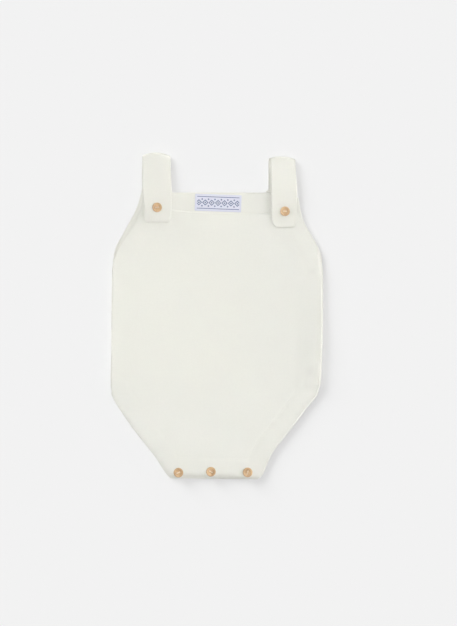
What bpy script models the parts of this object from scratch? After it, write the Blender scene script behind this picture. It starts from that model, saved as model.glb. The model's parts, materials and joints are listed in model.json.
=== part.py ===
"""Baby romper: a knitted bib body laid flat on its back, its straps folded over and buttoned in front.

Frame: metres, +Z up off the surface that the romper lies on, +Y towards the shoulders, +X to the right of
someone who looks down on its front. The origin is at the middle of its footprint, on that surface.
Every cloth piece is one open surface, placed by a function of its own sizes and thickened to a wall.
"""

import math
from collections import namedtuple

import bmesh
import bpy
import numpy as np

# Cloth, seams and hems.
WALL = 0.0018  # the knitted panels
STRAP_WALL = 0.0022
LABEL_WALL = 0.0010
SEAM_GAP = 0.0003  # between pieces that are sewn together or lie on each other
WALL_ROUNDING = 0.00040  # on the raw corners of a wall
THIN_WALL_ROUNDING = 0.25  # or this share of a thin one
CORNER_ANGLE = math.radians(50)  # a sharper corner than this is a raw one

# Heights of the front panel's upper side.
LYING_PLAY = 0.00005
LYING_HEIGHT = 2 * WALL + SEAM_GAP + LYING_PLAY  # where it lies on the back panel
LOFT_REACH = 0.0500  # how far in from an opening's hem the front has all of its loft
HEM_BLEND = 0.0050  # over which one hem's shape passes into the next one's at a corner
SIDE_ROLL = 0.0036  # width of the rounding of the fold at each side
SIDE_EDGE = 0.0006  # the rolled edge ends this far above the surface
Side = namedtuple("Side", "name shoulder")  # the width over which its fold flattens out
LEFT_SIDE = Side("left", 0.0060)
RIGHT_SIDE = Side("right", 0.0310)
FOLD_FADE = (0.0030, 0.0080)  # beside a side fold's edge the soft folds begin between these distances from it
# How high each side fold stands, up the garment.
SideHeight = namedtuple("SideHeight", "place y left right")
SIDE_HEIGHTS = (
    SideHeight("leg corner", -0.0912, 0.0047, 0.0058),
    SideHeight("hip", -0.0620, 0.0047, 0.0079),
    SideHeight("below the waist", -0.0300, 0.0047, 0.0083),
    SideHeight("waist", 0.0011, 0.0047, 0.0072),
    SideHeight("chest", 0.0300, 0.0047, 0.0062),
    SideHeight("underarm", 0.0665, 0.0047, 0.0056),
)

# The panel's edges, row by row. Left and right differ because the romper lies a little turned.
Row = namedtuple("Row", "place y front_left front_right back_left back_right")
ROWS = (
    Row("crotch edge", -0.1935, -0.0562, 0.0495, -0.0550, 0.0485),
    Row("crotch corner", -0.1872, -0.0610, 0.0549, -0.0596, 0.0536),
    Row("crotch hem", -0.1692, -0.0718, 0.0625, -0.0704, 0.0612),
    Row("inner leg, low", -0.1589, -0.0790, 0.0683, -0.0776, 0.0670),
    Row("inner leg, middle", -0.1447, -0.0902, 0.0791, -0.0887, 0.0777),
    Row("inner leg, high", -0.1304, -0.1011, 0.0907, -0.0995, 0.0891),
    Row("upper leg", -0.1067, -0.1172, 0.1080, -0.1152, 0.1060),
    Row("top of the leg", -0.0982, -0.1222, 0.1155, -0.1201, 0.1134),
    Row("leg corner", -0.0912, -0.1251, 0.1203, -0.1229, 0.1179),
    Row("foot of the side seam", -0.0795, -0.1257, 0.1230, -0.1233, 0.1206),
    Row("hip", -0.0439, -0.1249, 0.1248, -0.1225, 0.1224),
    Row("waist", 0.0011, -0.1247, 0.1257, -0.1224, 0.1234),
    Row("chest", 0.0461, -0.1240, 0.1258, -0.1216, 0.1234),
    Row("head of the side seam", 0.0615, -0.1236, 0.1254, -0.1210, 0.1229),
    Row("underarm", 0.0665, -0.1233, 0.1249, -0.1208, 0.1224),
    Row("armhole corner", 0.0720, -0.1215, 0.1238, -0.1224, 0.1213),
    Row("armhole, lowest", 0.0778, -0.1188, 0.1218, -0.1211, 0.1193),
    Row("armhole, low", 0.0858, -0.1143, 0.1180, -0.1182, 0.1155),
    Row("armhole, middle", 0.0938, -0.1087, 0.1135, -0.1134, 0.1110),
    Row("armhole, high", 0.1038, -0.1022, 0.1076, -0.1080, 0.1052),
    Row("front of the armhole", 0.1128, -0.0966, 0.1029, -0.1030, 0.1006),
    Row("shoulder, low", 0.1220, -0.0916, 0.1000, -0.0981, 0.0980),
    Row("shoulder", 0.1318, -0.0885, 0.0981, -0.0940, 0.0964),
    Row("top of the tab", 0.1418, -0.0879, 0.0966, -0.0910, 0.0956),
    Row("back neckline", 0.1468, -0.0873, 0.0962, -0.0897, 0.0952),
)
ROLL_FOOT = (-0.0915, -0.0795)  # the side folds open out into the legs between these heights
ROLL_HEAD = (0.0535, 0.0660)  # and into the armholes between these

# Front neckline and shoulder tabs: the height of the front panel's top edge, from left to right.
TopEdge = namedtuple("TopEdge", "place x y")
TOP_EDGE = (
    TopEdge("left tab, outer", -0.0890, 0.1418),
    TopEdge("left tab, inner", -0.0620, 0.1410),
    TopEdge("left tab, foot", -0.0530, 0.1263),
    TopEdge("neckline, left", -0.0473, 0.1253),
    TopEdge("neckline, left of the label", -0.0273, 0.1236),
    TopEdge("neckline, middle", 0.0009, 0.1224),
    TopEdge("neckline, right of the label", 0.0299, 0.1218),
    TopEdge("neckline, right", 0.0640, 0.1221),
    TopEdge("right tab, foot", 0.0680, 0.1230),
    TopEdge("right tab, inner", 0.0760, 0.1397),
    TopEdge("right tab, outer", 0.0970, 0.1405),
)
TURN_HEIGHT = 0.0955  # above this the front's rows bend to follow its top edge
CROTCH_TILT_SPAN = 0.0400  # above the crotch, over which its rows level out
FRONT_CROTCH = (-0.1901, -0.1924)  # height of the front's edge at its left and right ends
BACK_CROTCH = (-0.1923, -0.1935)

# How far the front stands up across the garment, above its height at the openings.
Loft = namedtuple("Loft", "place x rise")
LOFT = (
    Loft("left side", -0.1260, 0.0006),
    Loft("left of the belly", -0.0600, 0.0012),
    Loft("belly", 0.0, 0.0014),
    Loft("right of the belly", 0.0500, 0.0013),
    Loft("beside the fold", 0.0850, 0.0010),
    Loft("right side", 0.1260, 0.0010),
)

# How each opening's hem lies: how far it stands up, how far its edge droops and over what reach, and how much
# of it stays flat before the loft begins.
Hem = namedtuple("Hem", "opening rise droop reach flat")
HEMS = (
    Hem("left armhole", 0.0001, 0.0010, 0.0040, 0.0),
    Hem("left leg", 0.0010, 0.0015, 0.0080, 0.0),
    Hem("right armhole", 0.0004, 0.0006, 0.0024, 0.0),
    Hem("right leg", 0.0009, 0.0010, 0.0030, 0.0),
    Hem("neckline", 0.0, 0.0004, 0.0016, 0.0),
    Hem("crotch", 0.0028, 0.0036, 0.0080, 0.0140),
)

# Soft folds of the front: where, how long and wide, which way they run and how far they rise.
Fold = namedtuple("Fold", "place x y half_length half_width turn rise")
FOLDS = (
    Fold("lift of the underarm", 0.1188, 0.0650, 0.0150, 0.0085, 72, 0.0021),
    Fold("swell above the hip", 0.1165, -0.0595, 0.0105, 0.0090, 80, 0.0019),
    Fold("hollow under the left tab", -0.0600, 0.0825, 0.0300, 0.0140, 128, -0.0003),
    Fold("swell across the belly", -0.0350, 0.0155, 0.0700, 0.0500, 75, 0.0005),
    Fold("pull from the left leg", -0.0850, -0.0895, 0.0300, 0.0090, 50, 0.0003),
    Fold("pull from the right leg", 0.0720, -0.0845, 0.0260, 0.0080, 128, 0.0003),
)

# How each panel is divided from an edge inwards, and up the garment.
ROLL_STEPS = 4
EDGE_COLUMNS = (0.0080, 0.0130, 0.0185, 0.0235, 0.0270, 0.0300, 0.0330, 0.0360, 0.0400, 0.0450)
MIDDLE_COLUMNS = 5
FRONT_LEVELS = 38
BACK_EDGE_COLUMNS = (0.0012, 0.0040, 0.0120, 0.0235, 0.0270, 0.0400)
BACK_LEVELS = 26
ARM_POINTS, LEG_POINTS, NECK_POINTS, CROTCH_POINTS = 16, 20, 40, 6  # along each opening's edge
EDGE_LEVELS = (0.0, 0.0008, 0.0025, 0.0060)  # rows close to a top or bottom edge

# Straps. Each starts at the back neckline, runs up to its fold and comes down over the front.
Station = namedtuple("Station", "place y left right")
Strap = namedtuple("Strap", "name lower upper fold_bow fold_tilt end_round corner_lift fillet")
STRAPS = (
    Strap(
        "strap_left",
        (
            Station("seam", 0.1471, -0.0893, -0.0536),
            Station("outside of the neck", 0.1535, -0.0882, -0.0538),
            Station("fold", 0.1938, -0.0880, -0.0548),
        ),
        (
            Station("end", 0.1104, -0.0861, -0.0555),
            Station("button", 0.1286, -0.0864, -0.0533),
            Station("neckline", 0.1468, -0.0880, -0.0532),
            Station("middle", 0.1655, -0.0886, -0.0540),
            Station("fold", 0.1938, -0.0880, -0.0548),
        ),
        fold_bow=0.0036,
        fold_tilt=0.0004,
        end_round=(0.0040, 0.0045),
        corner_lift=0.0,
        fillet=0.0012,
    ),
    Strap(
        "strap_right",
        (
            Station("seam", 0.1471, 0.0612, 0.0950),
            Station("outside of the neck", 0.1535, 0.0612, 0.0938),
            Station("fold", 0.1891, 0.0612, 0.0928),
        ),
        (
            Station("end", 0.1044, 0.0659, 0.0936),
            Station("button", 0.1239, 0.0640, 0.0945),
            Station("neckline", 0.1468, 0.0639, 0.0952),
            Station("middle", 0.1655, 0.0637, 0.0940),
            Station("fold", 0.1891, 0.0633, 0.0928),
        ),
        fold_bow=0.0024,
        fold_tilt=0.0006,
        end_round=(0.0085, 0.0060),
        corner_lift=0.0014,
        fillet=0.0034,
    ),
)
FOLD_RADIUS = 0.0013  # of the wall's middle, where the strap turns back over itself
FOLD_BOW_REACH = 0.0300  # below the fold, over which its bowed rows straighten
CORNER_LIFT_REACH = 0.0600  # above the strap's end
STRAP_PLAY = 0.00002  # under the lower layer
STRAP_BED = LYING_HEIGHT + 0.0001  # the front panel's height where a strap presses on it
STRAP_PRESS = (0.0070, 0.0170)  # the front rises to its own height between these distances from a strap
STRAP_SLANT_PLAY = 0.00005  # for a strap that lies a little aslant
STRAP_ON_FRONT = STRAP_BED + SEAM_GAP + STRAP_SLANT_PLAY + STRAP_WALL / 2
STRAP_RISE = (0.1850, 0.1420)  # it climbs on to the front's tab between these heights
STRAP_CROWN = 0.0001  # the middle of the strap over its edges
STRAP_COLUMNS = 8
LOWER_STATIONS, FOLD_STATIONS, UPPER_STATIONS = 9, 7, 22
LOWER_CROWDING = 1.5  # its stations stand closer together near the seam

# Woven label on the inside of the back neck band.
LABEL_MIDDLE = (0.0016, 0.1340)
LABEL_SIZE = (0.0550, 0.0202)
LABEL_TURN = math.radians(-2.2)
LABEL_GRID = (8, 3)
LABEL_RIPPLE = 0.0002
LABEL_WAVES = 1.5  # of that ripple, across the label

# Turned wooden buttons, 18 line.
BUTTON_RADIUS = 0.00575
BUTTON_STEPS = 18
HOLE_RADIUS, HOLE_SPACING = 0.00085, 0.0030
HOLE_STEPS = 8
HOLE_CUTTER_LENGTH = 0.0100
AXIS_MERGE = 0.00005
ProfilePoint = namedtuple("ProfilePoint", "place r z")
BUTTON_PROFILE = (
    ProfilePoint("middle of the dish", 0.0, 0.0019),
    ProfilePoint("foot of the rim", 0.0028, 0.0019),
    ProfilePoint("inside of the rim", 0.0036, 0.0025),
    ProfilePoint("top of the rim", 0.0045, 0.0028),
    ProfilePoint("shoulder of the rim", 0.0053, 0.0024),
    ProfilePoint("widest", BUTTON_RADIUS, 0.0014),
    ProfilePoint("underside, edge", 0.0050, 0.0003),
    ProfilePoint("underside, flat", 0.0038, 0.0),
    ProfilePoint("underside, middle", 0.0, 0.0),
)
Button = namedtuple("Button", "name x y carrier_top turn")
STRAP_TOP = STRAP_ON_FRONT + STRAP_WALL / 2 + STRAP_CROWN
BUTTON_LIFT = 0.0005  # of the button on the right strap, whose left edge stands up
FLAP_SAG = 0.0001  # of the crotch hem where its buttons lie
FLAP_TOP = LYING_HEIGHT + HEMS[-1].rise - FLAP_SAG
BUTTONS = (
    Button("strap_button_left", -0.0704, 0.1286, STRAP_TOP, 8),
    Button("strap_button_right", 0.0806, 0.1239, STRAP_TOP + BUTTON_LIFT, -4),
    Button("crotch_button_left", -0.0453, -0.1847, FLAP_TOP, 24),
    Button("crotch_button_middle", -0.0069, -0.1837, FLAP_TOP, -32),
    Button("crotch_button_right", 0.0365, -0.1844, FLAP_TOP, 78),
)

Finish = namedtuple("Finish", "colour roughness")
KNIT = Finish((0.84, 0.83, 0.75), 0.90)
WOVEN = Finish((0.80, 0.80, 0.86), 0.75)
WOOD = Finish((0.66, 0.40, 0.21), 0.55)


def smooth_step(low, high, value):
    """0 below low, 1 above high, and an even curve between."""
    t = np.clip((value - low) / (high - low), 0.0, 1.0)
    return t * t * (3.0 - 2.0 * t)


def smooth_curve(knots, values, at):
    """A cubic through the knots that never overshoots them."""
    knots, values = np.asarray(knots, float), np.asarray(values, float)
    spans = np.diff(knots)
    rises = np.diff(values) / spans
    slopes = np.concatenate([rises[:1], np.zeros(len(rises) - 1), rises[-1:]])
    for i in range(1, len(rises)):
        if rises[i - 1] * rises[i] > 0:
            slopes[i] = 2 * rises[i - 1] * rises[i] / (rises[i - 1] + rises[i])
    at = np.clip(at, knots[0], knots[-1])
    i = np.clip(np.searchsorted(knots, at) - 1, 0, len(spans) - 1)
    t = (at - knots[i]) / spans[i]
    start, end = values[i], values[i + 1]
    lean = slopes[i] * spans[i] * t * (1 - t) ** 2 - slopes[i + 1] * spans[i] * t**2 * (1 - t)
    return start + (end - start) * t * t * (3 - 2 * t) + lean


def edge(column, y):
    """Where a panel's edge lies at height y up the garment."""
    return smooth_curve([row.y for row in ROWS], [getattr(row, column) for row in ROWS], y)


def side_roll(y):
    """1 where the front rolls over the side fold, 0 along the leg and armhole openings."""
    return smooth_step(*ROLL_FOOT, y) * (1 - smooth_step(*ROLL_HEAD, y))


def side_height(side, y):
    """How high a side fold stands at height y up the garment."""
    return smooth_curve([row.y for row in SIDE_HEIGHTS], [getattr(row, side.name) for row in SIDE_HEIGHTS], y)


def crotch_level(y, x, ends):
    """Rows near the crotch follow its slanting edge, and level out above it."""
    left, right = edge("front_left", ROWS[0].y), edge("front_right", ROWS[0].y)
    slant = ends[0] + (ends[1] - ends[0]) * np.clip((x - left) / (right - left), 0, 1)
    fade = 1 - smooth_step(0, CROTCH_TILT_SPAN, y - min(ends))
    return y + (slant - min(ends)) * fade


def columns_across(left, right, insets, middle):
    """Places across a row: fixed distances in from both edges, and even steps between them."""
    inner = np.linspace(left + insets[-1], right - insets[-1], middle + 1)[1:-1]
    return np.concatenate([left + np.array(insets), inner, right - np.array(insets)[::-1]])


def opening_edges():
    """The front's hemmed edges, as polylines, in the order of the hems' table."""
    arm = np.linspace(ROLL_HEAD[1], ROWS[-1].y, ARM_POINTS)
    leg = np.linspace(min(FRONT_CROTCH), ROLL_FOOT[0], LEG_POINTS)
    top = np.linspace(TOP_EDGE[0].x, TOP_EDGE[-1].x, NECK_POINTS)
    neck = smooth_curve([p.x for p in TOP_EDGE], [p.y for p in TOP_EDGE], top)
    crotch_x = np.linspace(edge("front_left", leg[0]), edge("front_right", leg[0]), CROTCH_POINTS)
    crotch_y = crotch_level(np.full(CROTCH_POINTS, leg[0]), crotch_x, FRONT_CROTCH)
    lines = [(edge(side, ys), ys) for side in ("front_left", "front_right") for ys in (arm, leg)]
    return [np.column_stack(line) for line in lines + [(top, neck), (crotch_x, crotch_y)]]


def distance_to(lines, x, y):
    """How far each point lies from the nearest of the polylines."""
    points = np.stack([x, y], axis=-1)
    nearest = np.full(x.shape, np.inf)
    for line in lines:
        for start, end in zip(line[:-1], line[1:]):
            run = end - start
            t = np.clip(((points - start) @ run) / (run @ run), 0, 1)
            gap = points - start - t[..., None] * run
            nearest = np.minimum(nearest, np.hypot(gap[..., 0], gap[..., 1]))
    return nearest


def fold_rise(x, y):
    """What the soft folds add to the front's height."""
    total = np.zeros(x.shape)
    for fold in FOLDS:
        turn = math.radians(fold.turn)
        along = (x - fold.x) * math.cos(turn) + (y - fold.y) * math.sin(turn)
        across = (y - fold.y) * math.cos(turn) - (x - fold.x) * math.sin(turn)
        total += fold.rise * np.exp(-((along / fold.half_length) ** 2) - (across / fold.half_width) ** 2)
    return total


def hem_ways(x, y):
    """How far in from the nearest opening, and how its hem lies, at each point."""
    depths = np.array([distance_to([line], x, y) for line in opening_edges()])
    depth = depths.min(axis=0)
    weights = np.exp(-(depths - depth) / HEM_BLEND)
    weights /= weights.sum(axis=0)
    ways = [np.tensordot([getattr(hem, way) for hem in HEMS], weights, 1) for way in Hem._fields[1:]]
    return depth, *ways


def beyond_strap(strap, x, y):
    """How far outside the upper layer of a strap each point lies."""
    left, right = station_edges(strap.upper, y)
    aside = np.maximum(np.maximum(left - x, x - right), 0)
    return np.hypot(aside, np.maximum(strap.upper[0].y - y, 0))


def front_height(x, y, inset_left, inset_right):
    """The height of the front panel's upper side."""
    depth, rise, droop, reach, flat = hem_ways(x, y)
    loft = smooth_curve([row.x for row in LOFT], [row.rise for row in LOFT], x)
    near_hem = np.clip(1 - (depth - flat) / LOFT_REACH, 0, 1) ** 2
    near_edge = np.clip(1 - depth / reach, 0, 1) ** 2
    height = LYING_HEIGHT + loft + (rise - loft) * near_hem - droop * near_edge
    folds = fold_rise(x, y)
    for side, inset in ((LEFT_SIDE, inset_left), (RIGHT_SIDE, inset_right)):
        beside = 1 - smooth_step(SIDE_ROLL, SIDE_ROLL + side.shoulder, inset)
        height = height + (side_height(side, y) - height) * beside * side_roll(y)
        folds = folds * smooth_step(*FOLD_FADE, inset)
    height = height + folds
    for strap in STRAPS:
        pressed = 1 - smooth_step(*STRAP_PRESS, beyond_strap(strap, x, y))
        height = height + (STRAP_BED - height) * pressed
    height = np.maximum(height, LYING_HEIGHT)
    for inset in (inset_left, inset_right):
        short = 1 - np.sqrt(1 - (1 - np.clip(inset / SIDE_ROLL, 0, 1)) ** 2)
        height = height - (height - SIDE_EDGE) * short * side_roll(y)
    return height


def levels_between(low, high, count):
    """Rows up a panel: close together at both ends, even between."""
    ends = np.array(EDGE_LEVELS)
    inner = np.linspace(low + ends[-1], high - ends[-1], count - 2 * len(ends) + 2)[1:-1]
    return np.concatenate([low + ends, inner, high - ends[::-1]])


def front_surface():
    """The front panel's upper side, as rows of points."""
    roll = [SIDE_ROLL * (1 - math.cos(math.pi / 2 * i / ROLL_STEPS)) for i in range(ROLL_STEPS + 1)]
    insets = roll + list(EDGE_COLUMNS)
    rows = []
    for level in levels_between(min(FRONT_CROTCH), TOP_EDGE[0].y, FRONT_LEVELS):
        reach = max(0.0, (level - TURN_HEIGHT) / (TOP_EDGE[0].y - TURN_HEIGHT))
        left_y = level
        right_y = level + reach * (TOP_EDGE[-1].y - TOP_EDGE[0].y)
        left, right = edge("front_left", left_y), edge("front_right", right_y)
        x = columns_across(left, right, insets, MIDDLE_COLUMNS)
        top = smooth_curve([p.x for p in TOP_EDGE], [p.y for p in TOP_EDGE], x)
        y = crotch_level(np.full(len(x), level), x, FRONT_CROTCH)
        if reach > 0:
            y = TURN_HEIGHT + reach * (top - TURN_HEIGHT)
        z = front_height(x, y, x - left, right - x)
        rows.append(np.column_stack([x, y, z]))
    return np.array(rows)


def back_surface():
    """The back panel's underside, flat on the surface that the romper lies on."""
    insets = (0.0,) + BACK_EDGE_COLUMNS
    rows = []
    for level in levels_between(min(BACK_CROTCH), ROWS[-1].y, BACK_LEVELS):
        left, right = edge("back_left", level), edge("back_right", level)
        x = columns_across(left, right, insets, MIDDLE_COLUMNS)
        y = crotch_level(np.full(len(x), level), x, BACK_CROTCH)
        rows.append(np.column_stack([x, y, np.zeros(len(x))]))
    return np.array(rows)


def label_surface():
    """The label's underside, laid on the back panel's points and moved out by the seam gap."""
    across = np.linspace(-0.5, 0.5, LABEL_GRID[0] + 1) * LABEL_SIZE[0]
    up = np.linspace(-0.5, 0.5, LABEL_GRID[1] + 1) * LABEL_SIZE[1]
    a, b = np.meshgrid(across, up)
    x = LABEL_MIDDLE[0] + a * math.cos(LABEL_TURN) - b * math.sin(LABEL_TURN)
    y = LABEL_MIDDLE[1] + a * math.sin(LABEL_TURN) + b * math.cos(LABEL_TURN)
    ripple = LABEL_RIPPLE * np.sin(a / LABEL_SIZE[0] * LABEL_WAVES * 2 * math.pi) ** 2
    return np.stack([x, y, WALL + SEAM_GAP + ripple], axis=-1)


def station_edges(stations, y):
    """The strap's left and right edges at height y."""
    rows = sorted(stations, key=lambda station: station.y)
    heights = [row.y for row in rows]
    return [smooth_curve(heights, [getattr(row, side) for row in rows], y) for side in ("left", "right")]


def strap_path(strap):
    """(layer, y, z) along the middle of the strap's wall, from its seam round the fold to its end."""
    seam, fold, end = strap.lower[0].y, strap.upper[-1].y, strap.upper[0].y
    low, turn_y = STRAP_PLAY + STRAP_WALL / 2, fold - FOLD_RADIUS - STRAP_WALL / 2
    stations = np.linspace(0, 1, LOWER_STATIONS) ** LOWER_CROWDING
    path = [("lower", y, low) for y in stations * (turn_y - seam) + seam]
    for angle in np.linspace(0, math.pi, FOLD_STATIONS + 1)[1:]:
        bend = FOLD_RADIUS * (1 - math.cos(angle))
        path.append(("fold", turn_y + FOLD_RADIUS * math.sin(angle), low + bend))
    for y in turn_y + (end - turn_y) * np.sin(np.linspace(0, math.pi / 2, UPPER_STATIONS + 1)[1:]):
        climb = smooth_step(-STRAP_RISE[0], -STRAP_RISE[1], -y)
        over_itself = low + 2 * FOLD_RADIUS
        path.append(("upper", y, over_itself + (STRAP_ON_FRONT - over_itself) * climb))
    return path


def corner_inset(from_end, radius):
    """How far an edge draws in at this distance from a rounded end."""
    short = np.clip(radius - from_end, 0, radius)
    return radius - math.sqrt(radius**2 - short**2)


def strap_surface(strap):
    """The middle of a strap's wall, across its width and along its path."""
    across = np.linspace(0, 1, STRAP_COLUMNS + 1)
    bow = (2 * across - 1) ** 2
    end_y, fold_y = strap.upper[0].y, strap.upper[-1].y
    rows = []
    for layer, y, z in strap_path(strap):
        left, right = station_edges(strap.lower if layer == "lower" else strap.upper, y)
        if layer == "fold":
            under = station_edges(strap.lower, y)
            turned = (z - STRAP_PLAY - STRAP_WALL / 2) / (2 * FOLD_RADIUS)
            left, right = under[0] + (left - under[0]) * turned, under[1] + (right - under[1]) * turned
        if layer == "lower":
            flare = corner_inset(y - strap.lower[0].y, strap.fillet)
            left, right = (left, right + flare) if right < 0 else (left - flare, right)
        if layer == "upper":
            left += corner_inset(y - end_y, strap.end_round[0])
            right -= corner_inset(y - end_y, strap.end_round[1])
        near_fold = smooth_step(fold_y - FOLD_BOW_REACH, fold_y, y)
        ys = y - near_fold * (strap.fold_bow * bow + strap.fold_tilt * (2 * across - 1))
        upper = layer == "upper"
        near_end = upper * (1 - smooth_step(0, CORNER_LIFT_REACH, y - end_y))
        lift = strap.corner_lift * (1 - across) ** 2 * near_end
        crown = STRAP_CROWN * (1 - bow) * upper
        x = left + (right - left) * across
        rows.append(np.column_stack([x, ys, z + lift + crown]))
    return np.array(rows)


def material(name, finish):
    """A Principled material of one colour, shared by the pieces made of it."""
    if name not in bpy.data.materials:
        made = bpy.data.materials.new(name)
        made.use_nodes = True
        shader = made.node_tree.nodes["Principled BSDF"]
        shader.inputs["Base Color"].default_value = (*finish.colour, 1.0)
        shader.inputs["Roughness"].default_value = finish.roughness
        shader.inputs["Metallic"].default_value = 0.0
    return bpy.data.materials[name]


def cloth_piece(name, surface, wall, offset, finish, collection):
    """A grid moved to the surface's points, thickened to a wall with rounded edges."""
    levels, columns = surface.shape[:2]
    shape = bmesh.new()
    bmesh.ops.create_grid(shape, x_segments=columns - 1, y_segments=levels - 1, size=1.0)
    for vert, point in zip(shape.verts, surface.reshape(-1, 3)):
        vert.co = point
    mesh = bpy.data.meshes.new(name)
    shape.to_mesh(mesh)
    shape.free()
    mesh.shade_smooth()
    mesh.materials.append(material(*finish))
    piece = bpy.data.objects.new(name, mesh)
    collection.objects.link(piece)
    thicken = piece.modifiers.new("wall", "SOLIDIFY")
    thicken.thickness, thicken.offset, thicken.use_even_offset = wall, offset, True
    soften = piece.modifiers.new("rounded edges", "BEVEL")
    soften.width, soften.segments = min(WALL_ROUNDING, wall * THIN_WALL_ROUNDING), 1
    soften.limit_method, soften.angle_limit = "ANGLE", CORNER_ANGLE
    return piece


def hole_cutter(button, base, cutters):
    """Two thin cylinders that cut a button's sewing holes."""
    shape = bmesh.new()
    for side in (-1, 1):
        made = bmesh.ops.create_cone(
            shape,
            cap_ends=True,
            segments=HOLE_STEPS,
            radius1=HOLE_RADIUS,
            radius2=HOLE_RADIUS,
            depth=HOLE_CUTTER_LENGTH,
        )
        bmesh.ops.translate(shape, verts=made["verts"], vec=(side * HOLE_SPACING / 2, 0, 0))
    mesh = bpy.data.meshes.new(button.name + "_holes")
    shape.to_mesh(mesh)
    shape.free()
    cutter = bpy.data.objects.new(button.name + "_holes", mesh)
    cutter.location = (button.x, button.y, base)
    cutter.rotation_euler = (0, 0, math.radians(button.turn))
    cutter.hide_render, cutter.display_type = True, "WIRE"
    cutters.objects.link(cutter)
    return cutter


def wooden_button(button, collection, cutters):
    """A turned profile with a raised rim and two sewing holes."""
    shape = bmesh.new()
    verts = [shape.verts.new((point.r, 0, point.z)) for point in BUTTON_PROFILE]
    for first, second in zip(verts[:-1], verts[1:]):
        shape.edges.new((first, second))
    mesh = bpy.data.meshes.new(button.name)
    shape.to_mesh(mesh)
    shape.free()
    mesh.materials.append(material("wood_button", WOOD))
    piece = bpy.data.objects.new(button.name, mesh)
    base = button.carrier_top + SEAM_GAP
    piece.location = (button.x, button.y, base)
    piece.rotation_euler = (0, 0, math.radians(button.turn))
    collection.objects.link(piece)
    turned = piece.modifiers.new("turned", "SCREW")
    turned.steps = turned.render_steps = BUTTON_STEPS
    turned.use_merge_vertices, turned.merge_threshold = True, AXIS_MERGE
    turned.use_smooth_shade = True
    holes = piece.modifiers.new("sewing holes", "BOOLEAN")
    holes.operation, holes.object = "DIFFERENCE", hole_cutter(button, base, cutters)
    return piece


def build():
    """All the pieces, in a collection named for the object."""
    for old in list(bpy.data.objects):
        bpy.data.objects.remove(old, do_unlink=True)
    romper = bpy.data.collections.new("baby_romper")
    cutters = bpy.data.collections.new("cutters")
    for made in (romper, cutters):
        bpy.context.scene.collection.children.link(made)
    knit, woven = ("knit_cloth", KNIT), ("woven_label", WOVEN)
    cloth_piece("back_panel", back_surface(), WALL, 1.0, knit, romper)
    cloth_piece("front_panel", front_surface(), WALL, -1.0, knit, romper)
    cloth_piece("label", label_surface(), LABEL_WALL, 1.0, woven, romper)
    for strap in STRAPS:
        cloth_piece(strap.name, strap_surface(strap), STRAP_WALL, 0.0, knit, romper)
    for button in BUTTONS:
        wooden_button(button, romper, cutters)


build()
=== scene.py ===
"""Looks of the baby romper: fine-gauge knit shells in place of the plain panels and straps, hem stitching,
a woven label, turned wooden buttons with their thread, and the light and camera.

Frame: metres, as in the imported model, +Z up off the surface that the romper lies on, +Y towards its
shoulders, +X to the right of someone who looks down on its front.
"""

import json
import math
from collections import namedtuple

import bmesh
import bpy
import numpy as np
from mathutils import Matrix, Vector, noise

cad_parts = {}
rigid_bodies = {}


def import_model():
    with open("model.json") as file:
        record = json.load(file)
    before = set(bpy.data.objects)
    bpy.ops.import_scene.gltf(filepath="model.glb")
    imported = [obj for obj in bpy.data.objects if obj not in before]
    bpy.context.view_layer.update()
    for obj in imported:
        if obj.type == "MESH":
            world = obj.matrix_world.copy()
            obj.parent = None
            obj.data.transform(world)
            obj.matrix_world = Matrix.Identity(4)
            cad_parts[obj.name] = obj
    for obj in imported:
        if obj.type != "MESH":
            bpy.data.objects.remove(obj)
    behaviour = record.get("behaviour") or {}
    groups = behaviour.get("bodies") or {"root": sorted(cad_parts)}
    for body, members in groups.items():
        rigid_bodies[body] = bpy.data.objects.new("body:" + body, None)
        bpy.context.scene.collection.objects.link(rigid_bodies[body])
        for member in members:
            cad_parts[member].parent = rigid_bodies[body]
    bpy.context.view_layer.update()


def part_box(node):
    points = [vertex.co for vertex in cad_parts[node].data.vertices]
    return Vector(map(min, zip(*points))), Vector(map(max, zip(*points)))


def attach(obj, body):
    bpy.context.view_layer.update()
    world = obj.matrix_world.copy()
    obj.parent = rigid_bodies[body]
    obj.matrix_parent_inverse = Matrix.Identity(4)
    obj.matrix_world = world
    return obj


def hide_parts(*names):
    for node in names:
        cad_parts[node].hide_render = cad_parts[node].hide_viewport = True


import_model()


def table(columns, *rows):
    """Rows with these named columns."""
    row_kind = namedtuple("TableRow", columns)
    return tuple(row_kind(*row) for row in rows)


# ---------------------------------------------------------------- sizes of the cloth, as in the solids
WALL = 0.0018
STRAP_WALL = 0.0022
THIN_WALL = 0.0006  # what a pressed hem has left at its very edge
LABEL_WALL = 0.0008
SEAM_GAP = 0.0003
HEM_DEPTH = 0.0240
HEM_STEP = 0.0030
HEM_FALL = 0.00012  # from a hem's doubled cloth to the plain cloth beside it
LYING_PLAY = 0.00005
LYING_HEIGHT = 2 * WALL + SEAM_GAP + LYING_PLAY
LOFT_REACH = 0.0500  # how far in from an opening the front has all of its loft
SIDE_TURN = math.radians(150)  # how far round the side folds the front panel goes, from its top
SIDE_TUCK = 0.0019  # how much further in than the solid the back panel's side edges lie, under the folds
ROLL_FOOT = (-0.0915, -0.0795)  # the side folds open out into the legs between these heights
ROLL_HEAD = (0.0535, 0.0660)  # and into the armholes between these
LEFT, RIGHT = table(
    "name sign roll tuck shoulder",
    ("left", 1, 0.0013, 0.0024, 0.0060),
    ("right", -1, 0.0026, 0.0030, 0.0320),
)
# How high the two side folds stand, up the garment.
SIDE_HEIGHTS = table(
    "place y left right",
    ("leg corner", -0.0912, 0.0047, 0.0058),
    ("hip", -0.0620, 0.0047, 0.0079),
    ("below the waist", -0.0300, 0.0047, 0.0083),
    ("waist", 0.0011, 0.0047, 0.0072),
    ("chest", 0.0300, 0.0047, 0.0062),
    ("underarm", 0.0665, 0.0047, 0.0056),
)

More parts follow.
